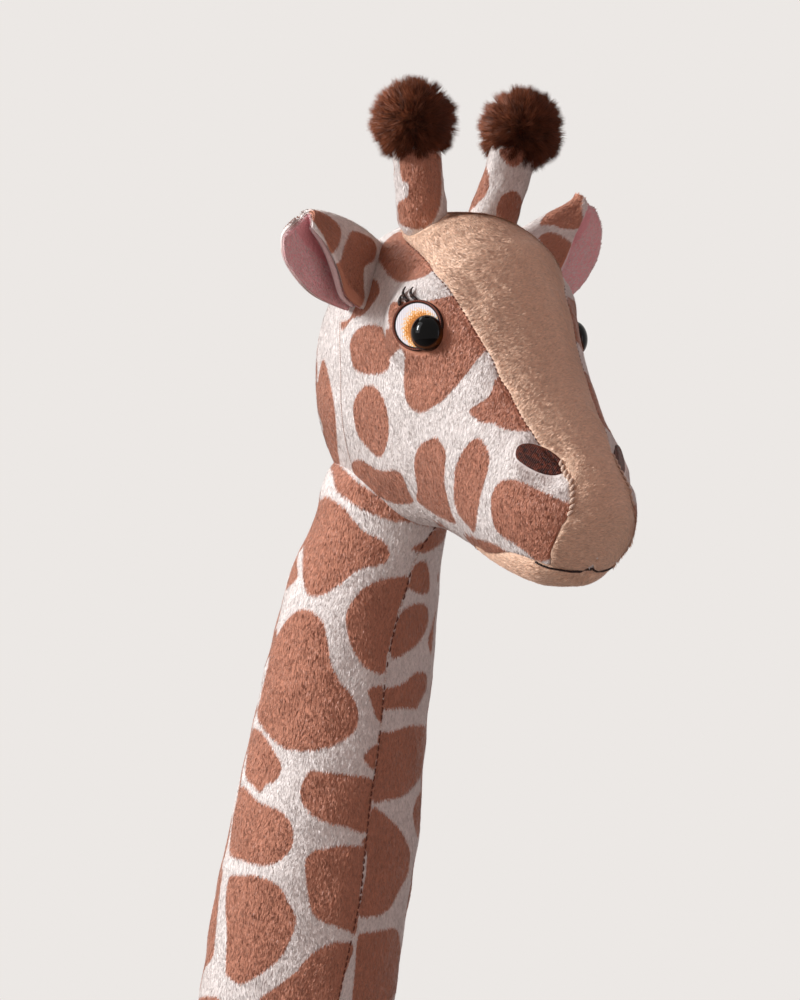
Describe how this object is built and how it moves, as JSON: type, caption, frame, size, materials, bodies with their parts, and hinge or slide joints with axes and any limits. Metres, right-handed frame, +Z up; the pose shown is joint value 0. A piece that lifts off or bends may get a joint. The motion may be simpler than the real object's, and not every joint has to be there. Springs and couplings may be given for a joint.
{
  "type": "plush giraffe",
  "caption": "Standing stuffed giraffe with a long neck, spotted pile skin, fur-topped horns, folded ears and a tufted tail, stiffened by rods inside.",
  "frame": {"origin": "centre of the footprint, on the plane of the soles", "axes": "+Z up, -Y the way the face looks, +X towards the giraffe's left side"},
  "size_m": [0.2044, 0.6625, 1.0481],
  "materials": {
    "spotted_pile": "short white pile with printed brown spots",
    "tan_pile": "short tan pile",
    "pink_pile": "short pink pile",
    "brown_pile": "short brown pile",
    "dark_fur": "long dark brown fur",
    "brown_thread": "satin stitch",
    "cream_thread": "satin stitch",
    "black_plastic": "polished black",
    "white_nylon": "moulded",
    "steel_rod": "drawn rod, bent and welded"
  },
  "bodies": {
    "trunk": {"torso": "spotted_pile", "leg_front_left": "spotted_pile", "leg_front_right": "spotted_pile", "leg_rear_left": "spotted_pile", "leg_rear_right": "spotted_pile", "hoof_front_left": "brown_pile", "hoof_front_right": "brown_pile", "hoof_rear_left": "brown_pile", "hoof_rear_right": "brown_pile", "support_frame": "steel_rod"},
    "neck": {"neck": "spotted_pile"},
    "head": {"head": "spotted_pile", "face_panel": "tan_pile", "chin_panel": "tan_pile", "eye_left": "black_plastic", "eye_right": "black_plastic", "eye_washer_left": "white_nylon", "eye_washer_right": "white_nylon", "eye_patch_left": "cream_thread", "eye_patch_right": "cream_thread", "nostril_left": "brown_thread", "nostril_right": "brown_thread"},
    "ear_left": {"ear_left_outer": "spotted_pile", "ear_left_lining": "pink_pile"},
    "ear_right": {"ear_right_outer": "spotted_pile", "ear_right_lining": "pink_pile"},
    "horn_left": {"ossicone_left": "spotted_pile", "pompom_left": "dark_fur"},
    "horn_right": {"ossicone_right": "spotted_pile", "pompom_right": "dark_fur"},
    "tail": {"tail": "spotted_pile", "tail_tuft": "dark_fur"}
  },
  "joints": [
    {"name": "neck_turn", "type": "hinge", "parent": "trunk", "child": "neck", "pos_m": [0, -0.0689, 0.545], "axis": [0, -0.2554, 0.9668], "range_deg": [-15, 15], "stiffness_Nm_per_rad": 6},
    {"name": "head_nod", "type": "hinge", "parent": "neck", "child": "head", "pos_m": [0, -0.1455, 0.835], "axis": [1, 0, 0], "range_deg": [-12, 12], "stiffness_Nm_per_rad": 6, "springref_deg": -1.15},
    {"name": "ear_left_fold", "type": "hinge", "parent": "head", "child": "ear_left", "pos_m": [0.0409, -0.188, 0.9522], "axis": [-0.3481, -0.0863, 0.9335], "range_deg": [-15, 20], "stiffness_Nm_per_rad": 0.06},
    {"name": "ear_right_fold", "type": "hinge", "parent": "head", "child": "ear_right", "pos_m": [-0.0409, -0.188, 0.9522], "axis": [-0.3481, 0.0863, -0.9335], "range_deg": [-15, 20], "stiffness_Nm_per_rad": 0.06},
    {"name": "horn_left_bend", "type": "hinge", "parent": "head", "child": "horn_left", "pos_m": [0.0225, -0.213, 0.9815], "axis": [1, 0, 0], "range_deg": [-12, 12], "stiffness_Nm_per_rad": 0.1},
    {"name": "horn_right_bend", "type": "hinge", "parent": "head", "child": "horn_right", "pos_m": [-0.0225, -0.213, 0.9815], "axis": [1, 0, 0], "range_deg": [-12, 12], "stiffness_Nm_per_rad": 0.1},
    {"name": "tail_swing", "type": "hinge", "parent": "trunk", "child": "tail", "pos_m": [0, 0.2255, 0.48], "axis": [1, 0, 0], "range_deg": [0, 50], "stiffness_Nm_per_rad": 0.2}
  ]
}
